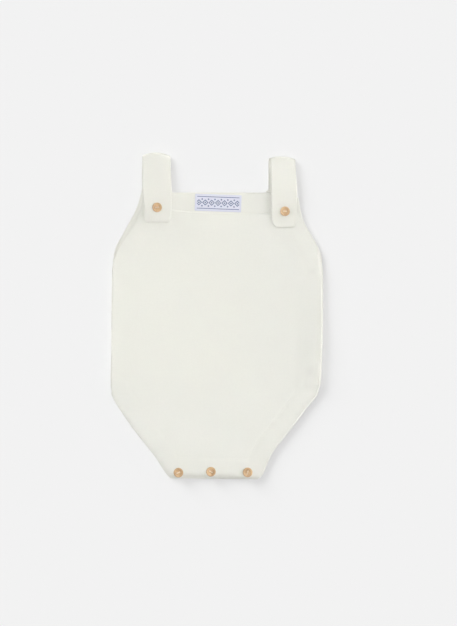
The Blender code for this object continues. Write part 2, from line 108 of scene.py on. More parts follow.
ROWS = table(
    "place y front_left front_right back_left back_right",
    ("crotch edge", -0.1935, -0.0562, 0.0495, -0.0550, 0.0485),
    ("crotch corner", -0.1872, -0.0610, 0.0549, -0.0596, 0.0536),
    ("crotch hem", -0.1692, -0.0718, 0.0625, -0.0704, 0.0612),
    ("inner leg, low", -0.1589, -0.0790, 0.0683, -0.0776, 0.0670),
    ("inner leg, middle", -0.1447, -0.0902, 0.0791, -0.0887, 0.0777),
    ("inner leg, high", -0.1304, -0.1011, 0.0907, -0.0995, 0.0891),
    ("upper leg", -0.1067, -0.1172, 0.1080, -0.1152, 0.1060),
    ("top of the leg", -0.0982, -0.1222, 0.1155, -0.1201, 0.1134),
    ("leg corner", -0.0912, -0.1251, 0.1203, -0.1229, 0.1179),
    ("foot of the side seam", -0.0795, -0.1257, 0.1230, -0.1233, 0.1206),
    ("hip", -0.0439, -0.1249, 0.1248, -0.1225, 0.1224),
    ("waist", 0.0011, -0.1247, 0.1257, -0.1224, 0.1234),
    ("chest", 0.0461, -0.1240, 0.1258, -0.1216, 0.1234),
    ("head of the side seam", 0.0615, -0.1236, 0.1254, -0.1210, 0.1229),
    ("underarm", 0.0665, -0.1233, 0.1249, -0.1208, 0.1224),
    ("armhole corner", 0.0720, -0.1215, 0.1238, -0.1224, 0.1213),
    ("armhole, lowest", 0.0778, -0.1188, 0.1218, -0.1211, 0.1193),
    ("armhole, low", 0.0858, -0.1143, 0.1180, -0.1182, 0.1155),
    ("armhole, middle", 0.0938, -0.1087, 0.1135, -0.1134, 0.1110),
    ("armhole, high", 0.1038, -0.1022, 0.1076, -0.1080, 0.1052),
    ("front of the armhole", 0.1128, -0.0966, 0.1029, -0.1030, 0.1006),
    ("shoulder, low", 0.1220, -0.0916, 0.1000, -0.0981, 0.0980),
    ("shoulder", 0.1318, -0.0885, 0.0981, -0.0940, 0.0964),
    ("top of the tab", 0.1418, -0.0879, 0.0966, -0.0910, 0.0956),
    ("back neckline", 0.1468, -0.0873, 0.0962, -0.0897, 0.0952),
)
TOP_EDGE = table(
    "place x y",
    ("left tab, outer", -0.0890, 0.1418),
    ("left tab, inner", -0.0620, 0.1410),
    ("left tab, foot", -0.0530, 0.1263),
    ("neckline, left", -0.0473, 0.1253),
    ("neckline, left of the label", -0.0273, 0.1236),
    ("neckline, middle", 0.0009, 0.1224),
    ("neckline, right of the label", 0.0299, 0.1218),
    ("neckline, right", 0.0640, 0.1221),
    ("right tab, foot", 0.0680, 0.1230),
    ("right tab, inner", 0.0760, 0.1397),
    ("right tab, outer", 0.0970, 0.1405),
)
# How far the front stands up across the garment, above its height at the openings.
LOFT = table(
    "place x rise",
    ("left side", -0.1260, 0.0006),
    ("left of the belly", -0.0600, 0.0012),
    ("belly", 0.0, 0.0014),
    ("right of the belly", 0.0500, 0.0013),
    ("beside the fold", 0.0850, 0.0010),
    ("right side", 0.1260, 0.0010),
)
# How each opening's hem lies: how far it stands up, how far its edge droops and over what reach, how much
# of it stays flat before the loft begins, how much lower its edge can sink because the back panel is thin
# there too, how deep its stitches draw the cloth in, and whether they go through to the front.
HEMS = table(
    "opening rise droop reach flat sink groove stitched",
    ("left armhole", 0.0, 0.0011, 0.0022, 0.0, 0.0001, 0.00004, True),
    ("left leg", 0.0010, 0.0015, 0.0080, 0.0, 0.0008, 0.00008, True),
    ("right armhole", 0.0004, 0.0006, 0.0024, 0.0, 0.0006, 0.00022, True),
    ("right leg", 0.0009, 0.0010, 0.0030, 0.0, 0.0008, 0.00026, True),
    ("neckline", 0.0, 0.0004, 0.0016, 0.0, 0.0, 0.0, False),
    ("crotch", 0.0028, 0.0036, 0.0064, 0.0140, 0.0008, 0.00016, True),
)
GROOVE = (0.0224, 0.0024)  # how far in from the opening the stitches draw the cloth in, and how wide
FOLD_FADE = (0.0015, 0.0055)  # beside a side fold's edge the soft folds begin between these distances from it
HEM_BLEND = 0.0050  # over which one hem's ways pass into the next one's at a corner
BACK_THINNING, BACK_THIN_REACH = 0.0006, 0.0016  # of the back panel at its own edges
BACK_FALL, BACK_FALL_REACH = 0.0001, 0.0055  # of the back's left armhole hem, out from the front's edge
TURN_HEIGHT = 0.0955  # above this the front's rows bend to follow its top edge
CROTCH_TILT_SPAN = 0.0400  # above the crotch, over which its rows level out
FRONT_CROTCH = (-0.1901, -0.1924)
BACK_CROTCH = (-0.1923, -0.1935)

# Soft folds of the front: where, how long and wide, which way they run (degrees) and how far they rise.
FOLDS = table(
    "place x y half_length half_width turn rise",
    ("lift of the underarm", 0.1188, 0.0650, 0.0150, 0.0085, 72, 0.0021),
    ("swell above the hip", 0.1165, -0.0595, 0.0105, 0.0090, 80, 0.0019),
    ("hollow under the left tab", -0.0600, 0.0825, 0.0300, 0.0140, 128, -0.0003),
    ("swell across the belly", -0.0350, 0.0155, 0.0700, 0.0500, 75, 0.0005),
    ("pull from the left leg", -0.0850, -0.0895, 0.0300, 0.0090, 50, 0.0003),
    ("pull from the right leg", 0.0720, -0.0845, 0.0260, 0.0080, 128, 0.0003),
)
Ripple = namedtuple("Ripple", "wavelength height")
RIPPLES = (Ripple(0.050, 0.00010), Ripple(0.021, 0.00006), Ripple(0.009, 0.00003))
PUCKER = Ripple(0.0065, 0.00016)  # of the cloth along a stitched hem
PUCKER_REACH = 0.0045
RIPPLE_LAYER, BACK_LAYER, PUCKER_LAYER = 3.0, 5.0, 9.0  # of the noise that each is read from

# How finely the shells are divided.
CELL = 0.0015
BACK_CELL = 0.0022
ROLL_CELLS = 10
EDGE_ROWS = (0.0, 0.0005, 0.0012, 0.0021, 0.0032, 0.0045)
RIM_STEPS = 5
HIDDEN_BAND = 0.0100  # how far in from an edge a panel's hidden side is made
NECK_BAND = 0.0340  # the same, where the inside of the back shows above the front's neckline
ARM_POINTS, LEG_POINTS, NECK_POINTS, CROTCH_POINTS = 16, 20, 40, 6

# Straps
STATION = "place y left right"
Strap = namedtuple("Strap", "name lower upper fold_bow fold_tilt end_round corner_lift fillet")
STRAPS = (
    Strap(
        "strap_left",
        table(
            STATION,
            ("seam", 0.1471, -0.0893, -0.0536),
            ("outside of the neck", 0.1535, -0.0882, -0.0538),
            ("fold", 0.1938, -0.0880, -0.0548),
        ),
        table(
            STATION,
            ("end", 0.1104, -0.0861, -0.0555),
            ("button", 0.1286, -0.0864, -0.0533),
            ("neckline", 0.1468, -0.0880, -0.0532),
            ("middle", 0.1655, -0.0886, -0.0540),
            ("fold", 0.1938, -0.0880, -0.0548),
        ),
        fold_bow=0.0036,
        fold_tilt=0.0004,
        end_round=(0.0040, 0.0045),
        corner_lift=0.0,
        fillet=0.0012,
    ),
    Strap(
        "strap_right",
        table(
            STATION,
            ("seam", 0.1471, 0.0612, 0.0950),
            ("outside of the neck", 0.1535, 0.0612, 0.0938),
            ("fold", 0.1891, 0.0612, 0.0928),
        ),
        table(
            STATION,
            ("end", 0.1044, 0.0659, 0.0936),
            ("button", 0.1239, 0.0640, 0.0945),
            ("neckline", 0.1468, 0.0639, 0.0952),
            ("middle", 0.1655, 0.0637, 0.0940),
            ("fold", 0.1891, 0.0633, 0.0928),
        ),
        fold_bow=0.0024,
        fold_tilt=0.0006,
        end_round=(0.0085, 0.0060),
        corner_lift=0.0012,
        fillet=0.0034,
    ),
)
FOLD_RADIUS = 0.0013
FOLD_BOW_REACH = 0.0300
CORNER_LIFT_REACH = 0.0600
STRAP_PLAY = 0.00002
STRAP_BED = LYING_HEIGHT + 0.0001  # the front panel's height where a strap presses on it
STRAP_PRESS = (0.0020, 0.0160)  # the front rises to its own height between these distances from a strap
STRAP_ON_FRONT = STRAP_BED + SEAM_GAP / 2 + STRAP_WALL / 2
STRAP_RISE = (0.1850, 0.1420)
STRAP_THINNING, STRAP_THIN_REACH = 0.0003, 0.0060  # of a strap's edges where it lies on the front
END_THINNING, END_THIN_REACH = 0.0006, 0.0050  # and how much more of its end
STRAP_THIN_HEIGHT = (0.1375, 0.1500)
STRAP_CROWN = 0.0001
STRAP_COLUMNS = 26
LOWER_STATIONS, FOLD_STATIONS, UPPER_STATIONS = 26, 16, 66

# Label
LABEL_MIDDLE = (0.0016, 0.1340)
LABEL_SIZE = (0.0550, 0.0202)
LABEL_TURN = math.radians(-2.2)
LABEL_GRID = (60, 20)
LABEL_RIPPLE = 0.0002
LABEL_WAVES = 1.5

# Buttons
BUTTON_RADIUS = 0.00575
BUTTON_STEPS = 48
HOLE_RADIUS, HOLE_SPACING = 0.00080, 0.0030
HOLE_STEPS = 16
THREAD_RADIUS = 0.00032
THREAD_RESOLUTION = 2
STRANDS = (-0.9, 0.9)  # how far aside a button's two strands lie at their middle, in thread radii
STRAND_CLOSING = 0.3  # the share of that by which they close up at the holes
STRAND_POINTS = 13
STRAND_ARCH = (0.9, 0.5)  # height over the dish in thread radii at the holes, and how much more between them
STRAND_DIP = (0.72, 1.6)  # from this share of the way to a hole a strand dips, and how steeply
# Turn and tilt are in degrees.
BUTTONS = table(
    "name x y turn tilt",
    ("strap_button_left", -0.0704, 0.1286, 8, (2, -1)),
    ("strap_button_right", 0.0806, 0.1239, -4, (-1, 2)),
    ("crotch_button_left", -0.0453, -0.1847, 24, (3, 1)),
    ("crotch_button_middle", -0.0069, -0.1837, -32, (-2, 2)),
    ("crotch_button_right", 0.0365, -0.1844, 78, (2, -2)),
)
BUTTON_PROFILE = table(
    "place r z",
    ("middle of the dish", 0.0, 0.00185),
    ("dish", 0.0020, 0.00188),
    ("foot of the rim", 0.0031, 0.00200),
    ("inside of the rim, low", 0.0036, 0.00232),
    ("inside of the rim, high", 0.0040, 0.00266),
    ("top of the rim, inner", 0.0044, 0.00279),
    ("top of the rim, outer", 0.0048, 0.00276),
    ("shoulder of the rim", 0.0053, 0.00245),
    ("above the widest", 0.0056, 0.00200),
    ("widest", BUTTON_RADIUS, 0.00140),
    ("below the widest", 0.0056, 0.00085),
    ("underside, edge", 0.0050, 0.00025),
    ("underside, flat", 0.0040, 0.0),
    ("underside, middle", 0.0, 0.0),
)

# Stitching
Stitching = namedtuple("Stitching", "depth pitch length radius")
HEM_ROWS = (Stitching(0.0212, 0.0030, 0.0022, 0.00018), Stitching(0.0236, 0.0030, 0.0022, 0.00018))
STITCH_STEPS = 6
STITCH_SHAPE = ((0.0, 0.25), (0.16, 0.8), (0.5, 1.0), (0.84, 0.8), (1.0, 0.25))  # how thick, along a stitch
SHORTEST_STITCH = 0.5  # of its length, where a row ends
THREAD_SINK = 0.35  # the share of a stitch that lies below the cloth's surface
ROW_STEPS, ROW_REACH, ROW_HALVINGS = 1440, 0.25, 22  # how a stitch row's line is found, round the middle
ROW_PLAY = 0.0004  # a row belongs to the opening that it follows this closely
SHORTEST_ROW = 4

# Colours are linear
KNIT_COLOUR = (0.772, 0.768, 0.704)
# The sewing thread's cream is partly its own colour and partly painted shade: it is made darker than the knit
# so the stitch rows read as the shaded lines of their grooves.
THREAD_COLOUR = (0.735, 0.730, 0.665)
BUTTON_THREAD_COLOUR = (0.800, 0.660, 0.480)
LABEL_GROUND = (0.610, 0.618, 0.700)
LABEL_MARK = (0.085, 0.115, 0.220)
WOOD_LIGHT = (0.675, 0.470, 0.265)
WOOD_DARK = (0.300, 0.168, 0.075)
FLOOR_COLOUR = (0.80, 0.80, 0.80)
# The darkest and lightest multiple of its colour that each shows.
KNIT_SHADES, THREAD_SHADES, FLOOR_SHADES = (0.93, 1.25), (0.92, 1.03), (0.998, 1.002)
LABEL_SHADES, MARK_SHADES = (0.94, 1.06), (0.85, 1.20)
# The depth is that of the bump.
Finish = namedtuple("Finish", "roughness specular sheen depth")
KNIT_FINISH = Finish(0.86, 0.12, 0.0, 0.00022)
THREAD_FINISH = Finish(0.62, 0.40, 0.1, 0.00006)
LABEL_FINISH = Finish(0.70, 0.35, 0.1, 0.00007)
WOOD_FINISH = Finish(0.48, 0.45, 0.0, 0.00005)
FLOOR_FINISH = Finish(1.0, 0.0, 0.0, 0.0)
FLOOR_SIZE, FLOOR_SINK = 8.0, 0.0001

# Camera: looks straight down; the picture's middle and height on the surface that the romper lies on.
PICTURE_MIDDLE = (0.0139, 0.0038)
PICTURE_HEIGHT = 0.7418
CAMERA_DISTANCE = 2.4
SENSOR = 36.0  # millimetres
CLIP = (0.01, 100)

# Light: a broad one overhead and a little from all round. Low soft lights at both sides model the cloth, the
# right one the stronger, and one from the upper left gives the surface its shadow. Angles are in degrees.
SKY_STRENGTH = 0.30
SUNS = table(
    "name toward strength angle lights",
    ("overhead", (0.0, 0.0, 1.0), 1.79, 20, "everything"),
    ("shadow_light", (-0.65, 0.65, 0.38), 1.98, 30, "floor"),
    ("right_key", (0.84, 0.17, 0.48), 1.90, 44, "romper"),
    ("left_fill", (-0.92, 0.10, 0.38), 0.84, 30, "romper"),
)


# ---------------------------------------------------------------- curves and fields
def smooth_step(low, high, value):
    """0 below low, 1 above high, and an even curve between."""
    t = np.clip((value - low) / (high - low), 0.0, 1.0)
    return t * t * (3.0 - 2.0 * t)


def close_to(depth, reach):
    """1 at an edge, less the further in from it, and 0 from this reach on."""
    return np.clip(1 - depth / reach, 0, 1) ** 2


def smooth_curve(knots, values, at):
    """A cubic through the knots that never overshoots them."""
    knots, values = np.asarray(knots, float), np.asarray(values, float)
    spans = np.diff(knots)
    rises = np.diff(values) / spans
    slopes = np.concatenate([rises[:1], np.zeros(len(rises) - 1), rises[-1:]])
    for i in range(1, len(rises)):
        if rises[i - 1] * rises[i] > 0:
            slopes[i] = 2 * rises[i - 1] * rises[i] / (rises[i - 1] + rises[i])
    at = np.clip(at, knots[0], knots[-1])
    i = np.clip(np.searchsorted(knots, at) - 1, 0, len(spans) - 1)
    t = (at - knots[i]) / spans[i]
    start, end = values[i], values[i + 1]
    lean = slopes[i] * spans[i] * t * (1 - t) ** 2 - slopes[i + 1] * spans[i] * t**2 * (1 - t)
    return start + (end - start) * t * t * (3 - 2 * t) + lean


def column_at(rows, column, at, by="y"):
    """A column of a table, read at these places along another of its columns."""
    return smooth_curve([getattr(row, by) for row in rows], [getattr(row, column) for row in rows], at)


def edge(column, y):
    """Where a panel's edge lies at height y up the garment."""
    return column_at(ROWS, column, y)


def neckline(x):
    """The height of the front panel's top edge."""
    return column_at(TOP_EDGE, "y", x, by="x")


def side_roll(y):
    """1 where the front rolls over the side fold, 0 along the leg and armhole openings."""
    return smooth_step(*ROLL_FOOT, y) * (1 - smooth_step(*ROLL_HEAD, y))


def side_height(side, y):
    """How high a side fold stands at height y up the garment."""
    return column_at(SIDE_HEIGHTS, side.name, y)


def crotch_level(y, x, ends):
    """Rows near the crotch follow its slanting edge, and level out above it."""
    left, right = edge("front_left", ROWS[0].y), edge("front_right", ROWS[0].y)
    slant = ends[0] + (ends[1] - ends[0]) * np.clip((x - left) / (right - left), 0, 1)
    fade = 1 - smooth_step(0, CROTCH_TILT_SPAN, y - min(ends))
    return y + (slant - min(ends)) * fade


def opening_edges():
    """The front's hemmed edges, as polylines: armholes, legs, crotch and neckline."""
    arm = np.linspace(ROLL_HEAD[1], ROWS[-1].y, ARM_POINTS)
    leg = np.linspace(min(FRONT_CROTCH), ROLL_FOOT[0], LEG_POINTS)
    top = np.linspace(TOP_EDGE[0].x, TOP_EDGE[-1].x, NECK_POINTS)
    crotch_x = np.linspace(edge("front_left", leg[0]), edge("front_right", leg[0]), CROTCH_POINTS)
    crotch_y = crotch_level(np.full(CROTCH_POINTS, leg[0]), crotch_x, FRONT_CROTCH)
    lines = [(edge(side, ys), ys) for side in ("front_left", "front_right") for ys in (arm, leg)]
    return [np.column_stack(line) for line in lines + [(top, neckline(top)), (crotch_x, crotch_y)]]


OPENINGS = opening_edges()  # in the order of the hems' table


def distance_to(lines, x, y):
    """How far each point lies from the nearest of the polylines."""
    points = np.stack([x, y], axis=-1)
    nearest = np.full(x.shape, np.inf)
    for line in lines:
        for start, end in zip(line[:-1], line[1:]):
            run = end - start
            t = np.clip(((points - start) @ run) / (run @ run), 0, 1)
            gap = points - start - t[..., None] * run
            nearest = np.minimum(nearest, np.hypot(gap[..., 0], gap[..., 1]))
    return nearest


def fold_rise(x, y):
    """What the soft folds add to the front's height."""
    total = np.zeros(x.shape)
    for fold in FOLDS:
        turn = math.radians(fold.turn)
        along = (x - fold.x) * math.cos(turn) + (y - fold.y) * math.sin(turn)
        across = (y - fold.y) * math.cos(turn) - (x - fold.x) * math.sin(turn)
        total += fold.rise * np.exp(-((along / fold.half_length) ** 2) - (across / fold.half_width) ** 2)
    return total


def waves(x, y, wavelength, layer):
    """Smooth uneven waves between -1 and 1, of about this wavelength."""
    flat = np.stack([x.ravel(), y.ravel()], axis=-1) / wavelength
    values = [noise.noise(Vector((a, b, layer))) for a, b in flat]
    return np.array(values).reshape(x.shape)


Ways = namedtuple("Ways", "depth rise droop reach flat sink groove")


def hem_ways(x, y):
    """How far in from the nearest opening, and how its hem lies, at each point."""
    depths = np.array([distance_to([line], x, y) for line in OPENINGS])
    depth = depths.min(axis=0)
    weights = np.exp(-(depths - depth) / HEM_BLEND)
    weights /= weights.sum(axis=0)
    ways = [np.tensordot([getattr(hem, way) for hem in HEMS], weights, 1) for way in Ways._fields[1:]]
    return Ways(depth, *ways)


def strap_inset(strap, x, y):
    """How far inside the upper layer of a strap each point lies."""
    left, right = station_edges(strap.upper, y)
    return np.minimum(np.minimum(x - left, right - x), y - strap.upper[0].y)


def beyond_strap(strap, x, y):
    """How far outside the upper layer of a strap each point lies."""
    left, right = station_edges(strap.upper, y)
    aside = np.maximum(np.maximum(left - x, x - right), 0)
    return np.hypot(aside, np.maximum(strap.upper[0].y - y, 0))


def front_height(x, y, left, right):
    """The height of the front panel's upper side, with its folds and ripples, between its two edges."""
    depth, rise, droop, reach, flat, sink, groove = hem_ways(x, y)
    near_edge = close_to(depth, reach)
    near_hem = close_to(depth - flat, LOFT_REACH)
    loft = column_at(LOFT, "rise", x, by="x")
    height = LYING_HEIGHT + loft + (rise - loft) * near_hem - droop * near_edge
    height = height - HEM_FALL * smooth_step(HEM_DEPTH - HEM_STEP, HEM_DEPTH, depth)
    height = height - groove * np.exp(-(((depth - GROOVE[0]) / GROOVE[1]) ** 2))
    folds = fold_rise(x, y)
    for side, inset in ((LEFT, x - left), (RIGHT, right - x)):
        fade = smooth_step(side.roll, side.shoulder + side.roll, inset)
        height = height + (1 - fade) * (side_height(side, y) - height) * side_roll(y)
        folds = folds * smooth_step(*FOLD_FADE, inset)
    height = height + folds
    for layer, ripple in enumerate(RIPPLES):
        height = height + ripple.height * waves(x, y, ripple.wavelength, RIPPLE_LAYER + layer)
    stitched = np.exp(-(((depth - HEM_ROWS[0].depth) / PUCKER_REACH) ** 2))
    height = height + PUCKER.height * stitched * waves(x, y, PUCKER.wavelength, PUCKER_LAYER)
    for strap in STRAPS:
        pressed = 1 - smooth_step(*STRAP_PRESS, beyond_strap(strap, x, y))
        height = height + (STRAP_BED - height) * pressed
    lowest = LYING_HEIGHT - (WALL - THIN_WALL + sink) * near_edge
    return np.maximum(height, lowest)


def front_walls(x, y, z):
    """The front panel's thickness: less where its edges are pressed down on to the back."""
    ways = hem_ways(x, y)
    under = LYING_HEIGHT - WALL - ways.sink * close_to(ways.depth, ways.reach)
    walls = np.clip(z - under, THIN_WALL, WALL)
    return walls + (WALL - walls) * side_roll(y)


# ---------------------------------------------------------------- meshes
def spaced(low, high, cell, ends):
    """Places from low to high: close together at both ends, and about a cell apart between."""
    ends = np.array(ends)
    count = max(2, round((high - low - 2 * ends[-1]) / cell))
    inner = np.linspace(low + ends[-1], high - ends[-1], count + 1)[1:-1]
    return np.concatenate([low + ends, inner, high - ends[::-1]])


def front_grid():
    """The front panel's outer side, from one rolled side over to the other, as rows of points."""
    rim = WALL / 2
    low, high = min(FRONT_CROTCH) + rim, TOP_EDGE[0].y - rim
    levels = spaced(low, high, CELL, EDGE_ROWS)[:, None]
    bend = np.maximum(0.0, (levels - TURN_HEIGHT) / (high - TURN_HEIGHT))
    right_levels = levels + bend * (TOP_EDGE[-1].y - TOP_EDGE[0].y)
    left, right = edge("front_left", levels), edge("front_right", right_levels)
    roll = side_roll(levels)
    t = np.linspace(0, 1, ROLL_CELLS + 1)
    turn = (1 - t) * SIDE_TURN
    sides = []
    for side, base in ((LEFT, left), (RIGHT, right)):
        round_x = np.where(turn < math.pi / 2, side.roll, side.tuck) * (1 - np.sin(turn))
        round_z = side_height(side, levels) / 2 * (1 + np.cos(turn))
        flat_x = rim + (side.roll - rim) * t
        sides.append((base + side.sign * (flat_x + (round_x - flat_x) * roll), round_z))
    (left_x, left_z), (right_x, right_z) = sides
    middle = np.linspace(0, 1, round((right - left).max() / CELL) + 1)[1:-1]
    inner = left_x[:, -1:] + (right_x[:, -1:] - left_x[:, -1:]) * middle
    x = np.hstack([left_x, inner, right_x[:, ::-1]])
    y = crotch_level(np.broadcast_to(levels, x.shape), x, FRONT_CROTCH)
    y = np.where(bend > 0, TURN_HEIGHT + bend * (neckline(x) - rim - TURN_HEIGHT), y)
    rounded = np.hstack([left_z, np.zeros(inner.shape), right_z[:, ::-1]])
    weight = roll * np.repeat([1, 0, 1], [len(t), len(middle), len(t)])
    z = front_height(x, y, left, right)
    z = z + (rounded - z) * weight
    return np.stack([x, y, z], axis=-1), front_walls(x, y, z)


def back_grid():
    """The back panel's outer side, which lies on the surface under the romper."""
    rim = WALL / 2
    levels = spaced(min(BACK_CROTCH) + rim, ROWS[-1].y - rim, BACK_CELL, EDGE_ROWS)
    tuck = SIDE_TUCK * side_roll(levels)
    left = edge("back_left", levels) + rim + tuck
    right = edge("back_right", levels) - rim - tuck
    columns = spaced(0, (right - left).max(), BACK_CELL, EDGE_ROWS)
    across = columns / columns[-1]
    x = left[:, None] + (right - left)[:, None] * across
    y = crotch_level(np.broadcast_to(levels[:, None], x.shape), x, BACK_CROTCH)
    depth = np.minimum(np.minimum(x - left[:, None], right[:, None] - x), np.minimum(y - y[:1], y[-1:] - y))
    relief = 0.5 + 0.5 * waves(x, y, RIPPLES[1].wavelength, BACK_LAYER)
    z = RIPPLES[1].height * relief * smooth_step(0, BACK_THIN_REACH, depth)
    outside = np.clip((edge("front_left", y) - x) / BACK_FALL_REACH, 0, 1) * (y > ROLL_HEAD[1])
    walls = WALL - BACK_THINNING * close_to(depth, BACK_THIN_REACH)
    walls = walls - BACK_FALL * np.sin(math.pi / 2 * outside)
    return np.stack([x, y, z], axis=-1), walls


def grid_normals(points):
    """Unit normals of a grid of points, from its rows and columns."""
    up = np.gradient(points, axis=0)
    across = np.gradient(points, axis=1)
    normals = np.cross(across, up)
    return normals / np.linalg.norm(normals, axis=-1, keepdims=True)


def lengths_along(points, axis):
    """The distance walked along each row or column of a grid, from its middle."""
    steps = np.linalg.norm(np.diff(points, axis=axis), axis=-1)
    walked = np.cumsum(steps, axis=axis)
    walked = np.insert(walked, 0, 0.0, axis=axis)
    middle = np.take(walked, [walked.shape[axis] // 2], axis=axis)
    return walked - middle


def perimeter(rows, columns):
    """The grid's outermost points, once round: along the first row, up, back along the last row, and down."""
    first = [(0, j) for j in range(columns)]
    up = [(i, columns - 1) for i in range(1, rows)]
    last = [(rows - 1, j) for j in range(columns - 2, -1, -1)]
    down = [(i, 0) for i in range(rows - 2, 0, -1)]
    return np.array(first + up + last + down)


Band = namedtuple("Band", "first last sides")  # how far in the hidden side goes, from the grid's edges
WHOLE = Band(1.0, 1.0, 1.0)


def shell(name, outer, wall, side, band, coords):
    """A piece of cloth: its outer side, a rounded edge all round, and its hidden side as far in as it shows.

    side is 1 where the grid's own normals point out, and -1 where they point in. wall is one thickness, or a
    grid of them."""
    rows, columns = outer.shape[:2]
    normals = grid_normals(outer) * side
    wall = np.broadcast_to(wall, (rows, columns))[..., None]
    inner = outer - normals * wall
    ring = tuple(perimeter(rows, columns).T)
    ring_outer, ring_normal = outer[ring], normals[ring]
    run = np.roll(ring_outer, -1, axis=0) - np.roll(ring_outer, 1, axis=0)
    away = np.cross(run, ring_normal) * side
    away /= np.linalg.norm(away, axis=-1, keepdims=True)
    verts, cloth = [outer.reshape(-1, 3)], [coords.reshape(-1, 3)]
    ring_at = [ring[0] * columns + ring[1]]
    count = rows * columns
    radius = wall[ring] / 2
    middle = ring_outer - ring_normal * radius
    for step in range(1, RIM_STEPS):
        turn = math.pi * step / RIM_STEPS
        verts.append(middle + radius * (ring_normal * math.cos(turn) + away * math.sin(turn)))
        cloth.append(coords[ring] + away * [1, 1, 0] * radius * turn)
        ring_at.append(count + np.arange(len(away)))
        count += len(away)
    verts.append(inner.reshape(-1, 3))
    cloth.append(coords.reshape(-1, 3) + [0, 0, 1])
    ring_at.append(count + ring_at[0])
    corner = np.arange(rows - 1)[:, None] * columns + np.arange(columns - 1)
    cells = np.stack([corner, corner + 1, corner + columns + 1, corner + columns], -1)
    up, across = lengths_along(outer, 0)[:, :-1], lengths_along(outer, 1)[:-1]
    from_side = np.minimum(across[:, :-1] - across[:, :1], across[:, -1:] - across[:, :-1])
    shows = (up[:-1] - up[:1] < band.first) | (up[-1:] - up[:-1] < band.last) | (from_side < band.sides)
    faces = [cells.reshape(-1, 4)[:, :: side], (cells[shows] + count)[:, :: -side]]
    for start, end in zip(ring_at[:-1], ring_at[1:]):
        quads = np.stack([start, end, np.roll(end, -1), np.roll(start, -1)], -1)
        faces.append(quads[:, ::side])
    return cloth_piece(name, np.concatenate(verts), np.concatenate(faces), np.concatenate(cloth))


def mesh_of(name, verts, faces):
    """A smooth mesh of these points and faces."""
    mesh = bpy.data.meshes.new(name)
    mesh.from_pydata(verts, [], faces)
    mesh.shade_smooth()
    return mesh


def placed(name, data):
    """A new object in the scene."""
    thing = bpy.data.objects.new(name, data)
    bpy.context.scene.collection.objects.link(thing)
    return thing


def cloth_piece(name, verts, faces, cloth):
    """An object that knows where its points lie on the cloth. Points that no face uses are left out."""
    used = np.unique(faces)
    index = np.zeros(len(verts), int)
    index[used] = np.arange(len(used))
    mesh = mesh_of(name, verts[used].tolist(), index[faces].tolist())
    place = mesh.attributes.new("cloth", "FLOAT_VECTOR", "POINT")
    place.data.foreach_set("vector", cloth[used].astype(np.float32).ravel())
    return placed(name, mesh)


def dressed(piece, material, slot, *nodes):
    """The piece with its material, in place of these solids."""
    piece.data.materials.append(material)
    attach(piece, "root")
    if nodes:
        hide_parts(*nodes)
    return piece


# ---------------------------------------------------------------- straps and label
def station_edges(stations, y):
    """The strap's left and right edges at height y."""
    rows = sorted(stations, key=lambda station: station.y)
    return [column_at(rows, side, y) for side in ("left", "right")]


def strap_path(strap):
    """(layer, y, z) along the middle of the strap's wall, from its seam round the fold to its end."""
    seam, fold, end = strap.lower[0].y, strap.upper[-1].y, strap.upper[0].y + STRAP_WALL / 2
    low, turn_y = STRAP_PLAY + STRAP_WALL / 2, fold - FOLD_RADIUS - STRAP_WALL / 2
    path = [("lower", y, low) for y in np.linspace(0, 1, LOWER_STATIONS) * (turn_y - seam) + seam]
    for angle in np.linspace(0, math.pi, FOLD_STATIONS + 1)[1:]:
        bend = FOLD_RADIUS * (1 - math.cos(angle))
        path.append(("fold", turn_y + FOLD_RADIUS * math.sin(angle), low + bend))
    for y in turn_y + (end - turn_y) * np.sin(np.linspace(0, math.pi / 2, UPPER_STATIONS + 1)[1:]):
        climb = smooth_step(-STRAP_RISE[0], -STRAP_RISE[1], -y)
        over_itself = low + 2 * FOLD_RADIUS
        path.append(("upper", y, over_itself + (STRAP_ON_FRONT - over_itself) * climb))
    return path


def corner_inset(from_end, radius):
    """How far an edge draws in at this distance from a rounded end."""
    short = np.clip(radius - from_end, 0, radius)
    return radius - math.sqrt(radius**2 - short**2)


def strap_grid(strap):
    """The middle of a strap's wall, across its width and along its path."""
    across = np.linspace(0, 1, STRAP_COLUMNS + 1)
    bow = (2 * across - 1) ** 2
    end_y, fold_y = strap.upper[0].y, strap.upper[-1].y
    rows = []
    for layer, y, z in strap_path(strap):
        left, right = station_edges(strap.lower if layer == "lower" else strap.upper, y)
        if layer == "fold":
            under = station_edges(strap.lower, y)
            turned = (z - STRAP_PLAY - STRAP_WALL / 2) / (2 * FOLD_RADIUS)
            left, right = under[0] + (left - under[0]) * turned, under[1] + (right - under[1]) * turned
        if layer == "lower":
            flare = corner_inset(y - strap.lower[0].y, strap.fillet)
            left, right = (left, right + flare) if right < 0 else (left - flare, right)
        if layer == "upper":
            left += corner_inset(y - end_y, strap.end_round[0])
            right -= corner_inset(y - end_y, strap.end_round[1])
        left, right = left + STRAP_WALL / 2, right - STRAP_WALL / 2
        near_fold = smooth_step(fold_y - FOLD_BOW_REACH, fold_y, y)
        ys = y - near_fold * (strap.fold_bow * bow + strap.fold_tilt * (2 * across - 1))
        upper = layer == "upper"
        near_end = upper * (1 - smooth_step(0, CORNER_LIFT_REACH, y - end_y))
        lift = strap.corner_lift * (1 - across) ** 3 * near_end
        crown = STRAP_CROWN * (1 - bow) * upper
        x = left + (right - left) * across
        rows.append(np.column_stack([x, ys, z + lift + crown]))
    return np.array(rows)


